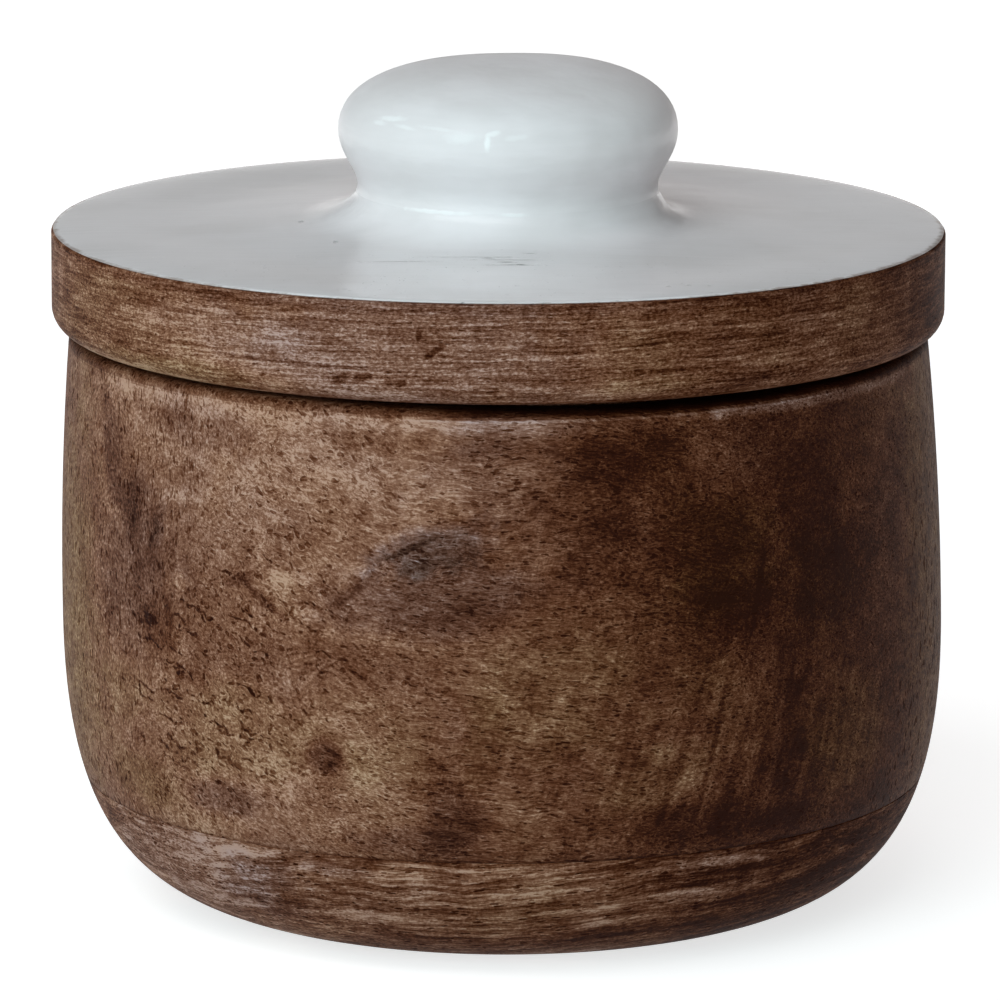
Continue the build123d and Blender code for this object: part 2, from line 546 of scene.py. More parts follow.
wallWood = {
    "roughness": 0.58,
    "specular": 0.05,
    "turn": 6,               # degrees that the fibres fall to the right
    "wander": 9.0,
    "seed": 0.0,
    "mottleSize": 13.0,
    "layerSize": (40.0, 3.2, 3.2),
    "fibreSize": (7.0, 0.42, 0.42),
    "raggedEdges": 0.75,
    # how much each kind of mark counts in the tone, and in the relief
    "marks": {
        "mottle": 0.16, "blotch": 0.26, "layers": 0.22, "fibres": 0.44, "grit": 0.28,
        "hairs": 0.53, "pores": -0.27, "rims": 0.07, "cracks": -0.42, "ribbons": 0.35,
        "seam": -0.22, "rimLine": -0.12, "rimShadeAndStain": -0.26,
    },
    "relief": {"pores": -0.7, "rims": 0.15, "hairs": 0.45, "grit": 0.35, "cracks": -0.7},
    # a reddish line under the rim, which fades between these half widths, and the darker
    # band that begins over it: painted shade of the lid's overhang, with a little stain
    "rimLine": {"height": 79.9, "half": (0.20, 0.06), "stain": (0.12, 0.28)},
    "seam": (0.5, 0.1),      # over the glue line, where its darkening starts and is full
    # cracks in the lower left, and ribbons standing across the fibres at the lower right
    "cracked": {"at": (-42.0, 42.0), "size": (22.0, 18.0)},
    "crack": {"turn": 19, "pore": (15.0, 9.0, 1.0), "share": 0.29,
              "fibre": (1.1, 0.2, 0.2), "wander": 2.4},
    "ribboned": {"at": (33.0, 34.0), "size": (34.0, 15.0)},
    "ribbon": {"turn": 18, "size": (1.6, 1.6, 16.0)},
    # the arcs between which the grain changes on the way round; such a line is ragged, and
    # slants with the height over the middle
    "changes": {"ragged": 14.0, "middle": 48.0, "left": (-45.0, -57.0),
                "right": (62.0, 80.0), "endsSlant": -0.35, "back": (150.0, 128.0),
                "leaning": (-14.0, -30.0), "leaningSlant": -0.4},
    # the grain across the front, then leaning, then upright at the ends of the block
    "grain": (
        {"turn": 4, "pore": (2.2, 0.50, 0.50), "share": 0.31,
         "fibre": (1.3, 0.19, 0.19), "wander": 0.9},
        {"turn": 26, "pore": (2.4, 0.85, 0.85), "share": 0.34,
         "fibre": (0.6, 0.24, 0.24), "wander": 1.6},
        {"turn": 84, "pore": (2.6, 0.75, 0.75), "share": 0.34,
         "fibre": (0.7, 0.22, 0.22), "wander": 1.2},
    ),
    # how dark the block is on its way round from the back, past the front, to the back
    "round": (
        (0.0, 0.48), (0.20, 0.57), (0.33, 0.66), (0.40, 0.76), (0.455, 0.72),
        (0.50, 0.54), (0.54, 0.38), (0.585, 0.24), (0.64, 0.16), (0.70, 0.33), (1.0, 0.48),
    ),
    "patches": (
        # pale and olive grounds
        # the greyish olive at the far left edge is partly painted sheen
        patch((-83, 45), (13, 30), -0.02, 0.8),
        patch((-64, 77), (4.5, 7), 0.12, 0.1, turn=25),
        patch((-38, 71), (22, 9), 0.08),
        patch((-14, 70), (9, 6), 0.12),
        patch((-40, 34), (17, 8), 0.0, 0.3),
        patch((-62, 36), (6, 5), 0.05, 0.4),
        patch((-60, 24), (9, 4), -0.08, 0.5),
        patch((-32, 27), (7, 4), 0.07, -0.1),
        patch((8, 42), (14, 11), 0.07, 0.35, turn=-15),
        patch((23, 29), (9, 4.5), 0.15, 0.4, turn=12),
        patch((28, 38), (7, 8), 0.12, 0.25, turn=-20),
        patch((36, 41), (5, 7), 0.10, turn=-10),
        patch((55, 31), (9, 10), 0.14, 0.7),
        patch((33, 73), (7, 6), 0.09, -0.2),
        # dark grounds
        patch((-63, 68), (4.5, 10), -0.20, -0.3, turn=22),
        patch((-59, 53), (11, 11), -0.11, -0.4),
        patch((-53, 47), (3.6, 5), -0.22),
        patch((-38, 48), (15, 7), -0.14, -0.1),
        patch((-12, 55), (17, 5.5), -0.13, -0.5, turn=4),
        patch((-18, 45), (9, 4), -0.08, -0.2),
        patch((-11, 34), (5, 8), -0.06, 0.2),
        patch((-2, 35), (2.6, 10), -0.10, 0.3, turn=-14),
        patch((3, 78), (9, 4), -0.04, -0.5),
        patch((13, 69), (7, 11), -0.16, -0.1),
        patch((18, 75), (8, 5), -0.12),
        patch((28, 63), (9, 6), -0.10, -0.3),
        patch((30, 53), (11, 5), -0.14, 0.1),
        patch((47, 65), (6, 9), -0.14),
        patch((50, 54), (9, 8), -0.13, 0.4),
        patch((43, 34), (4, 11), -0.12, turn=-6),
        patch((28, 22.5), (10, 3.2), -0.22, -0.1),
        patch((44, 21.5), (8, 2.2), -0.16, 0.2),
        patch((-57, 65), (5, 6), -0.08, -0.2),
        patch((-22, 40), (9, 8), -0.06),
        patch((23, 74), (5, 5), -0.15),
        patch((35, 61), (6, 4), -0.08),
        patch((8, 56), (6, 4), -0.10),
        patch((-35, 56), (5, 3), -0.07),
        patch((-15, 48), (5, 3), -0.08),
        patch((-45, 38), (6, 4), -0.06),
        patch((-24, 28), (5, 3), -0.07),
        patch((0, 63), (4, 4), -0.08),
        patch((15, 62), (5, 5), -0.08),
        patch((31, 50), (5, 8), -0.08),
        patch((48, 30), (5, 5), -0.09),
        patch((51, 55), (8, 6), -0.07),
        patch((70, 21), (8, 4), -0.08),
        patch((5, 69), (4, 4), 0.07),
        patch((-15, 58), (5, 3), 0.07),
        patch((-22, 61), (4, 3), 0.06),
        patch((15, 35), (5, 4), 0.06),
        patch((31, 31), (5, 7), 0.08),
        patch((6, 60), (9, 9), 0.07, -0.1),
        patch((-57, 58), (4.5, 10), -0.09, -0.4, turn=8),
        patch((-45, 76.5), (9, 3.5), -0.12, -0.3),
        # painted light: a lighter strip under the rim on the left, against the lid's shadow
        patch((-60, 80.2), (16, 1.2), 0.14),
        patch((-52, 57), (5, 5), -0.12, -0.3),
        patch((-66, 70), (3, 7), -0.10, -0.3, turn=20),
        patch((-8, 55), (13, 5), -0.04, -0.4, turn=6),
        patch((-2, 72), (12, 5), 0.05, -0.3),
        patch((-42, 62), (14, 10), -0.04, -0.2),
        patch((66, 55), (9, 16), 0.05, -0.3),
        patch((-7, 21), (14, 4), -0.07),
        # painted light: lighter strips just under the rim, against the lid's shadow, and a
        # painted highlight line along the rim's lower edge
        patch((-38, 79.0), (32, 1.7), 0.20),
        patch((2, 78.8), (22, 1.3), 0.16, -0.2),
        patch((16, 79.6), (34, 0.22), 0.20, -0.3),
        patch((54, 79.3), (26, 1.0), 0.34, -0.9),
        patch((31.5, 60), (9, 9), -0.07, 1.0),
        patch((84, 50), (15, 36), 0.09, 1.1),
        patch((76, 78), (12, 4.5), 0.12, 0.1),
        # the sides and the back
        patch((120, 58), (22, 9), 0.16, 0.3, turn=8),
        patch((150, 36), (26, 8), -0.18, -0.3, turn=-6),
        patch((160, 66), (16, 7), -0.14, 0.2, turn=4),
        patch((175, 48), (8, 12), 0.14, turn=20),
        patch((-172, 60), (10, 13), 0.14, 0.3, turn=-15),
        patch((-150, 41), (22, 8), -0.20, -0.4, turn=10),
        patch((-128, 66), (18, 7), 0.13, -0.2, turn=-10),
        patch((-112, 45), (8, 15), -0.14, turn=12),
        patch((-163, 73), (16, 3.5), -0.14, -0.3),
        patch((-166, 28), (12, 5), 0.14, 0.4),
        patch((103, 34), (12, 9), 0.12, 0.2),
        patch((98, 66), (10, 8), -0.12),
        patch((138, 75), (18, 3), 0.13),
        patch((132, 47), (3, 2.6), -0.30, -0.4),
        patch((-141, 55), (7, 0.8), -0.24, turn=20),
        # marks with a shape of their own: a bruise, a knot, flecks and streaks
        patch((-9, 62), (8.5, 3.2), -0.12, -1.5, turn=15),
        patch((-12.5, 62), (4.5, 0.5), -0.28, -0.4, turn=24),
        patch((-24.5, 32.3), (2.5, 2.5), -0.36, -0.8),
        patch((-18.5, 32), (3.0, 4.2), 0.12, 0.3),
        patch((-42, 24), (7.5, 3), -0.20, -0.7),
        patch((-6, 24), (4.2, 6), -0.22, -0.5, turn=-20),
        patch((-11, 20.8), (10, 2.2), -0.16, -0.5),
        patch((-31, 56.6), (2.6, 1.6), 0.30, 0.1),
        patch((-27.5, 57.3), (2.0, 1.5), 0.22, -0.1),
        patch((-27, 52), (1.8, 1.2), 0.24),
        patch((-20, 58), (2.2, 1.8), 0.20),
        patch((-50, 65.8), (5, 1.1), 0.20, turn=4),
        patch((-33.5, 53.2), (5, 0.7), -0.26, -0.3, turn=-33),
        patch((-38, 55.8), (3, 0.9), -0.22, -0.3, turn=18),
        patch((-20.5, 55.5), (3.4, 0.8), -0.24, -0.3, turn=35),
        patch((38, 55), (0.5, 7), -0.24, turn=-12),
        patch((30.5, 33), (0.5, 9), -0.16, turn=-12),
        patch((41, 32), (0.8, 9), 0.16, -0.3, turn=-8),
    ),
}


def wallGrain(tree, arc, height, ragged, wood):
    # the fibres run across the front and the back, and stand up at the ends of the block
    changes = wood["changes"]
    raised = maths(tree, "SUBTRACT", height, changes["middle"])
    shaken = addUp(tree, arc, (ragged, changes["ragged"]))
    roundTo = addUp(tree, shaken, (raised, changes["endsSlant"]))
    notBack = between(tree, maths(tree, "ABSOLUTE", arc), *changes["back"])
    ends = maths(tree, "MULTIPLY", notBack, maths(
        tree, "MAXIMUM", between(tree, roundTo, *changes["left"]),
        between(tree, roundTo, *changes["right"])))
    leaning = maths(tree, "MULTIPLY", notBack, between(
        tree, addUp(tree, shaken, (raised, changes["leaningSlant"])), *changes["leaning"]))
    marks, *others = (findGrain(tree, grain) for grain in wood["grain"])
    for share, other in zip((leaning, ends), others):
        marks = {name: blend(tree, share, marks[name], other[name]) for name in marks}
    return marks


def makeWallWood(wood):
    material, tree, inputs = newMaterial("wallWood", wood)
    where, marks, tone, hue = startWood(tree, wood)
    height = where["Height"]
    marks.update(wallGrain(tree, where["Arc"], height, marks["ragged"], wood))
    marks["cracks"] = maths(
        tree, "MULTIPLY", insideOval(tree, where, marks["edges"], **wood["cracked"]),
        findGrain(tree, wood["crack"])["pores"])
    ribbonPlace = turnedTo(tree, objectMillimetres(tree), falling(wood["ribbon"]["turn"]),
                           wood["ribbon"]["size"])
    marks["ribbons"] = maths(
        tree, "MULTIPLY", insideOval(tree, where, marks["edges"], **wood["ribboned"]),
        centred(tree, noise(tree, ribbonPlace, 1.0, 1.0)))
    marks["seam"] = between(tree, height, *(
        glueHeight / mm + over for over in wood["seam"]))
    line = wood["rimLine"]
    marks["rimLine"] = between(tree, maths(tree, "ABSOLUTE", maths(
        tree, "SUBTRACT", height, line["height"])), *line["half"])
    # the top of the wall under the lid is darkened: painted shade of the overhang, with a
    # little stain
    marks["rimShadeAndStain"] = between(tree, height, *(
        line["height"] + over for over in line["stain"]))
    finishWood(tree, inputs, tone, hue, marks, wood)
    return material


baseWood = {
    "roughness": 0.58,
    "specular": 0.02,
    "turn": -3,
    "wander": 5.0,
    "seed": 240.0,           # moves the pattern, so that no two blocks are alike
    "mottleSize": 15.0,
    "layerSize": (26.0, 14.0, 1.3),
    "fibreSize": (9.0, 2.4, 0.40),
    "grain": {"turn": -3, "pore": (3.4, 1.2, 0.50), "share": 0.25,
              "fibre": (1.6, 0.6, 0.18), "wander": 0.6},
    "raggedEdges": 0.7,
    "marks": {"blotch": 0.4, "layers": 0.8, "fibres": 0.62, "grit": 0.38, "hairs": 0.6,
              "pores": -0.42, "rims": 0.08},
    "relief": {"pores": -0.6, "rims": 0.1, "hairs": 0.5, "fibres": 0.35},
    "round": (
        (0.0, 0.45), (0.25, 0.56), (0.40, 0.62), (0.50, 0.57), (0.56, 0.40),
        (0.62, 0.20), (0.72, 0.14), (1.0, 0.45),
    ),
    "patches": (
        patch((-48, 16.8), (15, 0.9), 0.08),
        patch((-36, 16.2), (9, 1.7), 0.20, -0.3),
        patch((-25, 15.8), (6, 1.2), 0.15, -0.4),
        patch((-13.5, 16.2), (5, 1.7), 0.22, 0.1),
        patch((-54, 11.5), (20, 8), 0.19, -0.6),
        patch((-40, 12), (5, 3), 0.08),
        patch((-25, 17.6), (11, 0.8), 0.14, -0.2),
        patch((29, 14.5), (6, 2.5), -0.10),
        patch((-25, 8), (5, 3), -0.06),
        patch((30, 6.5), (20, 2.5), -0.06),
        patch((-39, 12), (9, 3), -0.14, -0.6, turn=12),
        patch((-36, 8), (5, 2), -0.14, -0.4),
        patch((8, 12), (14, 4.5), 0.16, 0.1),
        patch((36, 16.4), (10, 2), 0.07, -0.2),
        patch((30, 11), (22, 7), 0.11, -0.2),
        patch((42, 7), (16, 4), -0.12, 0.4),
        patch((58, 13), (12, 4), -0.08, 0.1),
        patch((0, 3.5), (20, 2), -0.08, 0.0),
    ),
}

lidWood = {
    "roughness": 0.55,
    "specular": 0.02,
    "turn": -1,
    "wander": 2.5,
    "seed": -130.0,
    "mottleSize": 16.0,
    "layerSize": (40.0, 16.0, 1.3),
    "fibreSize": (10.0, 4.0, 0.36),
    "grain": {"turn": -1, "pore": (2.8, 1.4, 0.55), "share": 0.24,
              "fibre": (0.7, 0.5, 0.21), "wander": 0.6},
    "raggedEdges": 0.7,
    "marks": {"blotch": 0.26, "layers": 0.42, "fibres": 0.60, "grit": 0.38, "hairs": 0.62,
              "pores": -0.20, "rims": 0.08},
    "relief": {"pores": -0.6, "rims": 0.1, "hairs": 0.5, "fibres": 0.35},
    "round": (
        (0.0, 0.48), (0.25, 0.58), (0.40, 0.68), (0.50, 0.64), (0.58, 0.48),
        (0.64, 0.40), (0.72, 0.24), (1.0, 0.48),
    ),
    "patches": (
        patch((-14, 89), (27, 12), 0.0, -0.6),
        patch((-58, 90), (16, 12), 0.0, 0.2),
        patch((-38, 91), (18, 3.2), 0.08, -0.2),
        patch((-46, 83.6), (24, 2.0), 0.05, 0.5),
        patch((0, 95.6), (90, 1.2), -0.12, -0.3),
        patch((-26, 87.0), (14, 0.32), -0.30, -0.2, turn=-1),
        patch((-21.6, 85.2), (1.5, 0.7), -0.34, turn=20),
        patch((-18.6, 85.6), (1.4, 0.6), -0.34, turn=15),
        patch((-14.6, 85.2), (0.9, 0.5), -0.42),
        patch((-13.0, 85.1), (0.8, 0.6), -0.42, turn=40),
        patch((-10.6, 91.9), (0.5, 0.9), -0.35),
        patch((-8.6, 89.5), (1.6, 0.45), -0.36, turn=35),
        patch((-10, 89), (24, 9), 0.04),
        patch((30, 88), (16, 8), 0.0, 0.1),
        patch((58, 88), (14, 9), 0.12, 0.1),
        patch((18, 88), (7, 5), 0.02, 0.3),
        # painted light: the underside of the lid's edge on the left is lightened against its
        # own shade
        patch((-60, 82.4), (16, 1.0), 0.25),
        patch((35, 84.0), (9, 1.6), -0.14, -0.3, turn=4),
        patch((22, 84.3), (10, 1.4), 0.08, 0.3),
    ),
}


def makePlankWood(name, wood):
    material, tree, inputs = newMaterial(name, wood)
    where, marks, tone, hue = startWood(tree, wood)
    marks.update(findGrain(tree, wood["grain"]))
    finishWood(tree, inputs, tone, hue, marks, wood)
    return material


enamelPaint = {
    "colour": (0.833, 0.804, 0.815),
    "thin": (0.768, 0.74, 0.745),    # where less of it covers the wood
    "highlightWhite": (0.95, 0.96, 0.965),    # painted highlight, laid over the runs
    "bleed": (0.20, 0.105, 0.06),    # stain that creeps in from the bare edge
    "dirt": (0.16, 0.15, 0.15),      # in pits
    "specular": 0.3,
    "roughness": 0.12,
    # what makes it duller, and the millimetres that each thing adds to its relief
    "duller": {"marks": 0.10, "pitted": 0.3, "brushed": 0.14, "crown": 0.16},
    "boardRelief": {"waves": 0.10, "boardMarks": 0.03},
    "knobRelief": {"waves": 0.40, "ridges": 0.18},
    "detailRelief": {"raised": 0.04, "pitted": -0.12},
    # heights over the board
    "knobStarts": (1.5, 4.0),
    "brushedStarts": (5.3, 5.6),
    "crownStarts": (14.0, 20.0),
    # distances from the middle, before fraying
    "bleedStarts": (63.6, 64.5),
    "bleedFrays": 2.6,
    "bleedShare": 0.6,
    "dirtShare": 0.55,
    # how thinly it lies: a level, and what clouds and brush marks add
    "thinness": {"level": -0.85, "cloud": 1.6, "marks": 0.5},
    "dashes": 0.35,                  # the level of the noise that breaks up long pits,
    "specks": (0.73, 0.80),          # and the levels of the one that makes specks
    "specksReach": (-22.0, -40.0),   # none behind the first, all in front of the second
    # runs in the coat of the knob, lightened as painted highlights, with a slight relief;
    # at: round it and over the board
    "runs": (
        {"at": (-27, 5.45), "size": (19, 0.34), "share": 0.6},
        {"at": (6.4, 5.4), "size": (7, 0.30), "share": 0.5},
        {"at": (-47, 18.2), "size": (8, 0.40), "turn": 1.5, "share": 0.55},
        {"at": (-53, 17.4), "size": (4.5, 0.36), "share": 0.4},
        {"at": (-39, 17.3), "size": (6, 0.34), "turn": -2, "share": 0.35},
        {"at": (-24, 17.5), "size": (9, 0.30), "turn": -1, "share": 0.3},
        {"at": (-14, 16.4), "size": (8, 0.9), "turn": 1, "share": 0.3},
        {"at": (-4.0, 15.9), "size": (1.5, 1.3), "turn": 20, "share": 0.9},
        {"at": (-1.4, 17.2), "size": (3.4, 0.45), "turn": 6, "share": 0.6},
        {"at": (6.5, 16.6), "size": (5, 0.5), "turn": 2, "share": 0.3},
    ),
    # at: across and towards the back, size: half widths, in millimetres
    "pits": (
        {"at": (-27.9, -4.1), "size": (0.30, 0.8)},
        {"at": (-22.7, -19.8), "size": (0.30, 0.8)},
        {"at": (-1.4, -31.9), "size": (0.8, 0.35)},
        {"at": (1.2, -34.5), "size": (1.2, 0.40)},
        {"at": (-3.5, -31.3), "size": (9, 0.26), "broken": 2.2},
        {"at": (1.0, -33.0), "size": (8, 0.22), "broken": 2.2},
        {"at": (2.0, -36.2), "size": (5, 0.30), "broken": 2.0},
        {"at": (-14.0, -34.0), "size": (7, 0.22), "broken": 2.4},
        {"at": (3.0, -35.9), "size": (0.7, 0.35)},
        {"at": (4.4, -29.0), "size": (0.8, 0.30)},
        {"at": (25.8, -49.9), "size": (0.35, 0.35)},
        {"at": (23.1, -50.9), "size": (0.30, 0.30)},
        {"at": (28.6, -50.1), "size": (0.30, 0.35)},
    ),
}


def makeEnamelPaint(paint):
    material, tree, inputs = newMaterial("enamelPaint", paint)
    place = objectMillimetres(tree)
    split = put(tree, "SeparateXYZ", {0: place}).outputs

    def overBoard(heights):
        return between(tree, split["Z"], *(boardTop / mm + height for height in heights))

    # brush marks run across the board and round the knob
    onKnob = overBoard(paint["knobStarts"])
    found = {
        "cloud": noise(tree, place, 0.05, 3.0),
        "boardMarks": stretched(tree, place, (0.035, 0.5, 0.5), 3.0, 0.6),
        "waves": noise(tree, place, 0.11, 1.0),
        "ridges": stretched(tree, place, (0.22, 0.22, 0.5)),
        "brushed": overBoard(paint["brushedStarts"]),
        "crown": overBoard(paint["crownStarts"]),
    }
    knobMarks = stretched(tree, place, (0.09, 0.09, 0.55))
    found["marks"] = blend(tree, onKnob, found["boardMarks"], knobMarks)
    thinness = paint["thinness"]
    thin = addUp(tree, thinness["level"], (found["cloud"], thinness["cloud"]),
                 (found["marks"], thinness["marks"]))
    colour = blend(tree, between(tree, thin, 0.0, 0.5), (*paint["colour"], 1),
                   (*paint["thin"], 1))

    # pits and specks in the coat of the board, with dirt in them
    dashes = stretched(tree, place, (0.9, 0.9, 0.9))
    dashes = maths(tree, "SUBTRACT", dashes, paint["dashes"])
    pitted = 0.0
    for pit in paint["pits"]:
        pitted = useGroup(tree, stainAndLightPatch, {
            "Arc": split["X"], "Height": split["Y"], "Tone": pitted, "Tone Shift": 1.0,
            "Ragged": maths(tree, "MULTIPLY", dashes, pit.get("broken", 0.0)),
            **oval(pit["at"], pit["size"]),
        })["Tone"]
    specks = maths(
        tree, "MULTIPLY",
        between(tree, stretched(tree, place, (1.1, 2.2, 2.2), 1.0), *paint["specks"]),
        between(tree, split["Y"], *paint["specksReach"]))
    found["pitted"] = maths(tree, "MULTIPLY", maths(tree, "MAXIMUM", pitted, specks),
                            maths(tree, "SUBTRACT", 1.0, onKnob))
    dirty = maths(tree, "MULTIPLY", found["pitted"], paint["dirtShare"])
    colour = blend(tree, dirty, colour, (*paint["dirt"], 1))

    turned = dict(useGroup(tree, turnedPlace, {}).items())
    found["raised"] = 0.0
    for run in paint["runs"]:
        found["raised"] = useGroup(tree, stainAndLightPatch, {
            **turned, "Tone": found["raised"], "Tone Shift": run["share"], "Ragged": dashes,
            **oval(run["at"], run["size"], run.get("turn", 0.0), boardTop / mm),
        })["Tone"]
    # painted highlights: each run is mixed towards this near-white colour
    colour = blend(tree, found["raised"], colour, (*paint["highlightWhite"], 1))

    flat = put(tree, "CombineXYZ", {"X": split["X"], "Y": split["Y"]}).outputs[0]
    frayed = addUp(
        tree, vectors(tree, "LENGTH", flat, result="Value"),
        (stretched(tree, place, (0.35, 0.35, 0.35), 4.0, 0.7), paint["bleedFrays"]))
    creep = maths(tree, "MULTIPLY", between(tree, frayed, *paint["bleedStarts"]),
                  paint["bleedShare"])
    tree.links.new(blend(tree, creep, colour, (*paint["bleed"], 1)), inputs["Base Color"])

    gloss = weigh(tree, paint["roughness"], found, paint["duller"])
    tree.links.new(gloss, inputs["Roughness"])
    relief = blend(tree, onKnob, weigh(tree, 0.0, found, paint["boardRelief"]),
                   weigh(tree, 0.0, found, paint["knobRelief"]))
    relief = weigh(tree, relief, found, paint["detailRelief"])
    bump = put(tree, "Bump", {"Strength": 1.0, "Distance": mm, "Height": relief})
    tree.links.new(bump.outputs[0], inputs["Normal"])
    return material


screwSteel = {"colour": (0.46, 0.46, 0.47), "roughness": 0.22, "specular": 0.5,
              "scuffed": 0.2}


def makeSteel(steel):
    material, tree, inputs = newMaterial("screwSteel", steel)
    inputs["Base Color"].default_value = (*steel["colour"], 1)
    inputs["Metallic"].default_value = 1.0
    scuffs = noise(tree, objectMillimetres(tree), 0.9, 3.0)
    rough = addUp(tree, steel["roughness"], (scuffs, steel["scuffed"]))
    tree.links.new(rough, inputs["Roughness"])
    return material


wallFinish = makeWallWood(wallWood)
baseFinish = makePlankWood("baseWood", baseWood)
lidFinish = makePlankWood("lidWood", lidWood)
enamelFinish = makeEnamelPaint(enamelPaint)
steelFinish = makeSteel(screwSteel)
print("materials made")


jar = {
    "sides": 160,
    "rimRadius": 61.0 * mm,
    "footRadius": 40.0 * mm,
    "bellyHeight": 40.0 * mm,
    "heelRise": 2.5 * mm,
    "heelFullness": 0.77,
    "bellyFullness": 0.56,
    "rimRound": 1.2 * mm,
    "mouthRadius": 53.5 * mm,
    "floorHeight": 13.0 * mm,
    "floorRound": 3.5 * mm,
    "footRings": (20 * mm, 39 * mm),   # they part the flat foot and the flat floor, so that
    "floorRing": 30 * mm,              # no face is a long sliver
    "seamGroove": 0.12 * mm,
    "flankSteps": 34,
    "heelSteps": 22,
    "heelCrowding": 1.6,     # of the rings towards the foot, where the heel is roundest
    "boreSteps": 12,
    "lean": 0.013,           # the hand-turned jar stands a little out of true
    "rimDips": (             # and its rim has sunk towards the front right
        {"azimuth": 22, "depth": 1.15 * mm, "reach": 52 * mm},
        {"azimuth": 75, "depth": 0.25 * mm, "reach": 45 * mm},
    ),
}

heelCurve = (
    (jar["footRadius"], 0.0),
    (
        jar["footRadius"] + jar["heelFullness"] * (bellyRadius - jar["footRadius"]),
        jar["heelRise"],
    ),
    (bellyRadius, jar["bellyHeight"] * (1 - jar["bellyFullness"])),
    (bellyRadius, jar["bellyHeight"]),
)


def jarRadius(height):
    if height >= jar["bellyHeight"]:
        inset = bellyRadius - jar["rimRadius"]
        climb = rimHeight - jar["bellyHeight"]
        arc = (climb ** 2 + inset ** 2) / (2 * inset)
        up = height - jar["bellyHeight"]
        return bellyRadius - arc + math.sqrt(arc ** 2 - up ** 2)
    low, high = 0.0, 1.0
    for _ in range(40):
        middle = (low + high) / 2
        if bezier(heelCurve, middle)[1] < height:
            low = middle
        else:
            high = middle
    return bezier(heelCurve, low)[0]


def jarLean(height):
    return (jar["lean"] * (rimHeight - height), 0.0)


def makeWall():
    groove = jar["seamGroove"]
    bottom = (jarRadius(glueHeight) - groove, glueHeight)
    outline = [bottom]
    straightTop = rimHeight - jar["rimRound"]
    for i in range(jar["flankSteps"] + 1):
        climb = (straightTop - glueHeight - groove) * i / jar["flankSteps"]
        height = glueHeight + groove + climb
        outline.append((jarRadius(height), height))
    outside, inside = ((jar[name], rimHeight) for name in ("rimRadius", "mouthRadius"))
    boreBottom = (jar["mouthRadius"], glueHeight)
    outline += roundCorner(outside, outline[-1], inside, jar["rimRound"], 6)[1:]
    outline += roundCorner(inside, outside, boreBottom, jar["rimRound"], 6)
    for i in range(1, jar["boreSteps"] + 1):
        height = straightTop + (glueHeight - straightTop) * i / jar["boreSteps"]
        outline.append((jar["mouthRadius"], height))
    outline.append(bottom)
    wall = turnRings("jarWall", outline, jar["sides"], jarLean)
    for dip in jar["rimDips"]:
        turn = math.radians(dip["azimuth"])
        middle = (
            jar["rimRadius"] * math.sin(turn), -jar["rimRadius"] * math.cos(turn), rimHeight
        )
        pushSoftly(wall, middle, dip["reach"], (0, 0, -dip["depth"]),
                   nearest=dip["depth"] + 4 * mm)
    finishPiece(wall, "jar", wallFinish, "wall_wood", "body_wall")
    return wall


def makeBase():
    groove = jar["seamGroove"]
    outline = [(radius, 0.0) for radius in (poleHole, *jar["footRings"])]
    for i in range(jar["heelSteps"] + 1):
        climb = (i / jar["heelSteps"]) ** jar["heelCrowding"]
        height = (glueHeight - groove) * climb
        outline.append((jarRadius(height), height))
    outline.append((jarRadius(glueHeight) - groove, glueHeight))
    outline.append((jar["mouthRadius"], glueHeight))
    well, floor = jar["mouthRadius"], jar["floorHeight"]
    outline += roundCorner(
        (well, floor), (well, glueHeight), (0, floor), jar["floorRound"], 7)
    outline += [(jar["floorRing"], floor), (poleHole, floor)]
    base = turnRings("jarBase", outline, jar["sides"], jarLean)
    closePoles(base, (*jarLean(0.0), 0.0))
    finishPiece(base, "jar", baseFinish, "base_wood", "base_disc")
    return base


jarWall = makeWall()
jarBase = makeBase()
print("jar turned:", len(jarWall.data.vertices) + len(jarBase.data.vertices), "points")


lid = {
    "sides": 160,
    "plugRadius": 52.7 * mm,
    "seatRadius": 57.7 * mm,
    "flangeUnder": 81.9 * mm,
    "underRound": 3.2 * mm,
    "topRound": 0.5 * mm,
    "topRise": 0.25 * mm,    # of the board's top over the plain model
    "tilt": 0.25,            # degrees, about a line through the middle of the edge
    "tiltHeight": 89 * mm,
    "plugRound": 1.0 * mm,
    "plugRing": 25 * mm,     # rings that part the flat bottom and the flat top
    "topRings": (45 * mm, 20 * mm),
    "edgeRing": 1 * mm,      # over the middle of the edge
    "holeRadius": 2.4 * mm,
    "headRadius": 4.1 * mm,
}


def makeLidBoard():
    top = boardTop + lid["topRise"]
    hole, head = lid["holeRadius"], lid["headRadius"]
    plug, seat, under = lid["plugRadius"], lid["seatRadius"], lid["flangeUnder"]
    outline = [(hole, top), (hole, plugBottom + head - hole), (head, plugBottom),
               (lid["plugRing"], plugBottom)]
    outline += roundCorner(
        (plug, plugBottom), (0, plugBottom), (plug, rimHeight), lid["plugRound"], 4)
    outline += [(plug, rimHeight), (seat, rimHeight), (seat, under)]
    outline += roundCorner(
        (lidRadius, under), (0, under), (lidRadius, top), lid["underRound"], 8)
    outline += [(lidRadius, (under + top) / 2 + lid["edgeRing"])]
    outline += roundCorner(
        (lidRadius, top), (lidRadius, under), (0, top), lid["topRound"], 6)
    outline += [(radius, top) for radius in (*lid["topRings"], hole)]
    board = turnRings("lidBoard", outline, lid["sides"])
    tiltPiece(board, lid["tilt"], lid["tiltHeight"])
    finishPiece(board, "lid", lidFinish, "lid_wood", "lid_board")
    return board


lidBoard = makeLidBoard()
print("lid board turned:", len(lidBoard.data.vertices), "points")


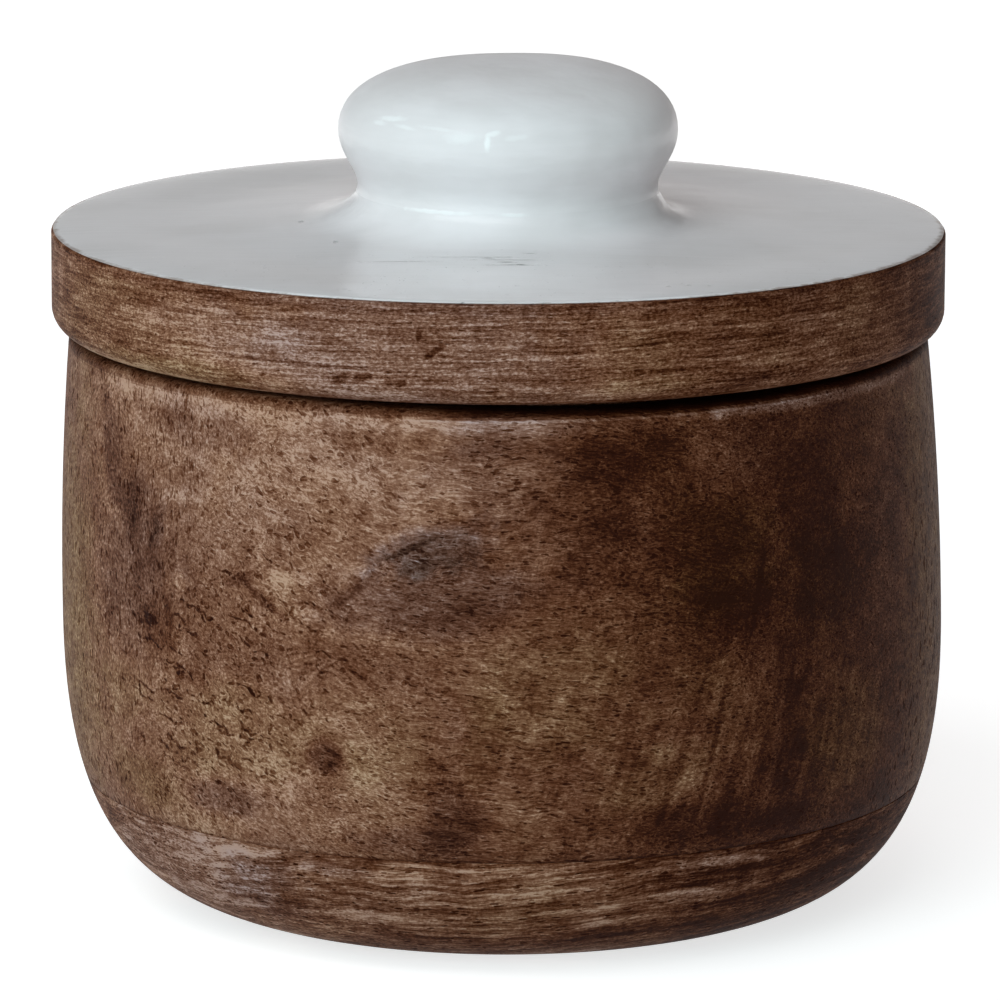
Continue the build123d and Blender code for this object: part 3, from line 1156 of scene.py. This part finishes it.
knob = {
    "sides": 96,
    "capRadius": 23.6 * mm,
    "capHeight": 14.2 * mm,
    "neckInset": 4.5 * mm,
    "flareInset": 1.2 * mm,
    "flareHeight": 12.3 * mm,
    "capUnder": 1.6 * mm,
    "capEdge": 8.3 * mm,
    "crownRadius": 10.4 * mm,
    "height": 24.0 * mm,
    "offset": 1.3 * mm,      # set by hand, a little right of the middle, and the height
    "offsetClimb": 4.5 * mm,   # over which the coat goes along
    "play": 0.4 * mm,        # kept clear of the inside of the coat
}

enamel = {
    "sides": 240,
    "thickness": 0.5 * mm,
    "edgeRadius": 63.15 * mm,
    "edgeThickness": 0.16 * mm,
    "edgeBevels": (0.05 * mm, 0.1 * mm),
    "thinsFrom": 52 * mm,    # the coat thins out towards the edge of the board
    "thinsSoftly": 3 * mm,
    "frontSetback": 0.9 * mm,
    "neckRadius": 21.3 * mm,
    "neckHeight": 5.7 * mm,  # of the narrowest place, over the coat on the board
    "neckUpright": 2.2 * mm,
    "capUnder": 3.4 * mm,
    "crownSettled": 0.3 * mm,  # the coat has run off the middle of the top
    "sweep": (               # from the neck out to the board, over the coat on the board
        (21.3 * mm, 3.9 * mm), (23.4 * mm, 1.0 * mm), (29.0 * mm, 0.62 * mm),
        (34.0 * mm, 0.38 * mm), (40.0 * mm, 0.10 * mm), (44.5 * mm, 0.0),
    ),
    "boardRings": (45 * mm, 48 * mm),   # under the coat, and on it
    "setbackReach": 60 * mm,
    "shoulderHeight": 22.5 * mm,
    "shoulderReach": 15 * mm,
    "shoulders": (           # the cap is fuller on the right
        {"across": 16 * mm, "rise": 0.42 * mm}, {"across": -16 * mm, "rise": 0.14 * mm},
    ),
}


def flareCurve(growth):
    # the bare wooden knob, hidden under the coat
    top = boardTop + knob["capHeight"]
    cap = knob["capRadius"] + growth
    return (
        (cap - knob["neckInset"], boardTop),
        (cap - knob["flareInset"], boardTop + knob["flareHeight"]),
        (cap, top - knob["capUnder"]),
        (cap, top),
    )


def crownCurve(growth, settled=0.0):
    start = boardTop + knob["capHeight"]
    top = boardTop + knob["height"] + growth - settled
    cap = knob["capRadius"] + growth
    return (
        (cap, start),
        (cap, start + knob["capEdge"]),
        (knob["crownRadius"], top),
        (0.0, top),
    )


def knobShift(height):
    # the skin on the board stays in the middle, and the knob stands beside it
    climb = (height - boardTop - enamel["thickness"]) / knob["offsetClimb"]
    share = min(max(climb, 0.0), 1.0)
    return (knob["offset"] * share * share * (3 - 2 * share), 0.0)


def makeKnobCore():
    play = -knob["play"]
    outline = [(poleHole, boardTop), (flareCurve(play)[0][0], boardTop)]
    outline += bezierRun(flareCurve(play), 10)
    outline += bezierRun(crownCurve(play), 16)[:-1]
    core = turnRings("knobCore", outline, knob["sides"], lambda z: (knob["offset"], 0.0))
    closePoles(core, (knob["offset"], 0, boardTop))
    tiltPiece(core, lid["tilt"], lid["tiltHeight"])
    finishPiece(core, "lid", lidFinish, "knob_wood", "knob")
    return core


def makeEnamel():
    skin = enamel["thickness"]
    under = boardTop + lid["topRise"]
    top = under + skin
    edge, thin = enamel["edgeRadius"], enamel["edgeThickness"]
    # inside, down over the wooden knob and out over the board
    underRing, topRing = enamel["boardRings"]
    outline = [(poleHole, boardTop + knob["height"])]
    outline += bezierRun(crownCurve(0), 10)[-3::-1]
    outline += bezierRun(flareCurve(0), 6)[::-1]
    outline += [(knob["capRadius"] - knob["neckInset"], under), (underRing, under)]
    # outside, round the edge and back over the board
    lowBevel, highBevel = enamel["edgeBevels"]
    outline += [(edge - lowBevel, under), (edge, under + thin * 0.4)]
    thinsFrom, softly = enamel["thinsFrom"], enamel["thinsSoftly"]
    outline += bezierRun(
        ((edge - highBevel, under + thin), (edge - softly, top),
         (thinsFrom + softly, top), (thinsFrom, top)), 12, skipFirst=False)
    outline += [(topRing, top)]
    sweep = [(radius, top + height) for radius, height in enamel["sweep"]]
    neck = (enamel["neckRadius"], top + enamel["neckHeight"])
    outline += bezierRun(sweep[:1:-1], 10, skipFirst=False)
    outline += bezierRun((sweep[2], sweep[1], (neck[0], sweep[0][1]), neck), 14)
    cap = knob["capRadius"] + skin
    capTop = boardTop + knob["capHeight"]
    outline += bezierRun(
        (neck, (neck[0], neck[1] + enamel["neckUpright"]),
         (cap, capTop - enamel["capUnder"]), (cap, capTop)), 12)
    outline += bezierRun(crownCurve(skin, enamel["crownSettled"]), 22)[:-1]
    coat = turnRings("enamelSkin", outline, enamel["sides"], knobShift)
    closePoles(coat, (knob["offset"], 0, boardTop + knob["height"]))
    pushSoftly(coat, (0, -edge, top), enamel["setbackReach"],
               (0, enamel["frontSetback"], 0), nearest=3 * mm)
    for shoulder in enamel["shoulders"]:
        middle = (shoulder["across"], 0, boardTop + enamel["shoulderHeight"])
        pushSoftly(coat, middle, enamel["shoulderReach"], (0, 0, shoulder["rise"]),
                   nearest=5 * mm)
    tiltPiece(coat, lid["tilt"], lid["tiltHeight"])
    finishPiece(coat, "lid", enamelFinish, "enamel", "enamel_coat")
    return coat


knobCore = makeKnobCore()
enamelSkin = makeEnamel()
print("knob and enamel turned:", len(enamelSkin.data.vertices), "points")

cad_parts["knob_screw"].data.materials.clear()
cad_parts["knob_screw"].data.materials.append(steelFinish)


studio = {
    "floorSize": 60.0,
    "floorColour": 0.8,            # as it lights the object
    "floorSeen": 0.7,              # and as it is seen, with some white added to it: near
    "floorShown": (0.70, 1.0),     # the object and far away, and the metres between which
    "floorReach": (0.8, 2.0),      # the one turns into the other
    "horizon": 0.62,
    "sky": 0.05,
    "worldTint": (1.03, 1.0, 0.985),
    "horizonEnds": 0.0,            # sines of the heights where the sky begins to darken
    "skyStarts": 0.22,             # and where it is darkest
    "aim": 0.06,                   # height of the point that the lamps stand round
    "lampDistance": 2.6,
    "lamps": {
        "frontKey": {"azimuth": -20, "elevation": 18, "size": 2.2, "power": 45,
                     "tint": (0.82, 1.03, 1.06)},
        "highKey": {"azimuth": -30, "elevation": 55, "size": 2.4, "tall": 1.0,
                    "power": 23, "tint": (0.97, 1.0, 1.02), "mirrored": True},
        "leftFill": {"azimuth": -100, "elevation": 12, "size": 1.3, "power": 7.5,
                     "tint": (0.95, 1.04, 1.06)},
        "backLeft": {"azimuth": -150, "elevation": 34, "size": 2.2, "power": 10.5,
                     "tint": (1.06, 0.99, 0.98)},
        "backRight": {"azimuth": 150, "elevation": 34, "size": 2.2, "power": 10.5,
                      "tint": (1.10, 0.98, 0.95)},
        "backLow": {"azimuth": 180, "elevation": 10, "size": 0.8, "power": 0.3,
                    "tint": (1.0, 1.0, 1.0), "mirrored": True},
    },
}

view = {
    "distance": 1.100,
    "height": 0.28384,
    "pitch": 11.689,
    "yaw": 0.013,
    "focalPixels": 7853.5,
    "imagePixels": 1000,
    "sensor": 36.0,
    "reach": 30,
}


def makeFloor():
    startFresh()
    bpy.ops.mesh.primitive_plane_add(size=studio["floorSize"], location=(0, 0, 0))
    floor = bpy.context.object
    floor.name = "studioFloor"
    material = bpy.data.materials.new("paleFloor")
    material.use_nodes = True
    tree = material.node_tree
    tree.nodes.clear()
    # the floor that gives the object its light and its shadow
    bounce, soft = (
        put(tree, "BsdfDiffuse", {"Color": (level, level, level, 1)}).outputs[0]
        for level in (studio["floorColour"], studio["floorSeen"]))
    # and the whiter one that is seen, also in what mirrors it
    away = vectors(tree, "LENGTH", put(tree, "TexCoord").outputs["Object"], result="Value")
    strength = between(tree, away, *studio["floorReach"], *studio["floorShown"])
    shown = put(tree, "Emission", {"Strength": strength}).outputs[0]
    both = put(tree, "AddShader", {0: soft, 1: shown}).outputs[0]
    path = put(tree, "LightPath").outputs
    seen = path["Is Camera Ray"]
    for ray in ("Is Glossy Ray", "Is Transmission Ray"):
        seen = maths(tree, "MAXIMUM", seen, path[ray])
    mix = put(tree, "MixShader", {"Fac": seen, 1: bounce, 2: both}).outputs[0]
    put(tree, "OutputMaterial", {"Surface": mix})
    floor.data.materials.append(material)


def makeWorld():
    world = bpy.data.worlds.new("studioWorld")
    bpy.context.scene.world = world
    world.use_nodes = True
    tree = world.node_tree
    tree.nodes.clear()
    direction = put(tree, "TexCoord").outputs["Generated"]
    height = put(tree, "SeparateXYZ", {0: direction}).outputs["Z"]
    colour = stepsRamp(tree, height, [
        (studio[ends], tuple(studio[level] * share for share in studio["worldTint"]))
        for ends, level in (("horizonEnds", "horizon"), ("skyStarts", "sky"))])
    ground = put(tree, "Background", {"Color": colour}).outputs[0]
    put(tree, "OutputWorld", {"Surface": ground})


def makeLamp(name, lamp):
    startFresh()
    azimuth, elevation = math.radians(lamp["azimuth"]), math.radians(lamp["elevation"])
    away = Vector((
        math.sin(azimuth) * math.cos(elevation),
        -math.cos(azimuth) * math.cos(elevation),
        math.sin(elevation),
    ))
    middle = Vector((0, 0, studio["aim"]))
    bpy.ops.object.light_add(
        type="AREA", location=middle + away * studio["lampDistance"])
    light = bpy.context.object
    light.name = name
    light.data.shape = "RECTANGLE"
    light.data.size = lamp["size"]
    light.data.size_y = lamp.get("tall", lamp["size"])
    light.data.energy = lamp["power"]
    light.data.color = lamp["tint"]
    light.rotation_mode = "QUATERNION"
    light.rotation_quaternion = (-away).to_track_quat("-Z", "Y")
    light.visible_camera = False
    light.visible_glossy = lamp.get("mirrored", False)
    return light


def makeCamera():
    startFresh()
    bpy.ops.object.camera_add(location=(0, -view["distance"], view["height"]))
    camera = bpy.context.object
    camera.name = "photoCamera"
    camera.rotation_euler = (
        math.radians(90 - view["pitch"]), 0, -math.radians(view["yaw"])
    )
    camera.data.sensor_width = view["sensor"]
    camera.data.lens = view["sensor"] * view["focalPixels"] / view["imagePixels"]
    camera.data.clip_end = view["reach"]

    bpy.context.scene.camera = camera


makeFloor()
makeWorld()
for lampName, lampValues in studio["lamps"].items():
    makeLamp(lampName, lampValues)
makeCamera()
bpy.context.scene.view_settings.view_transform = "Standard"
print("studio set up")
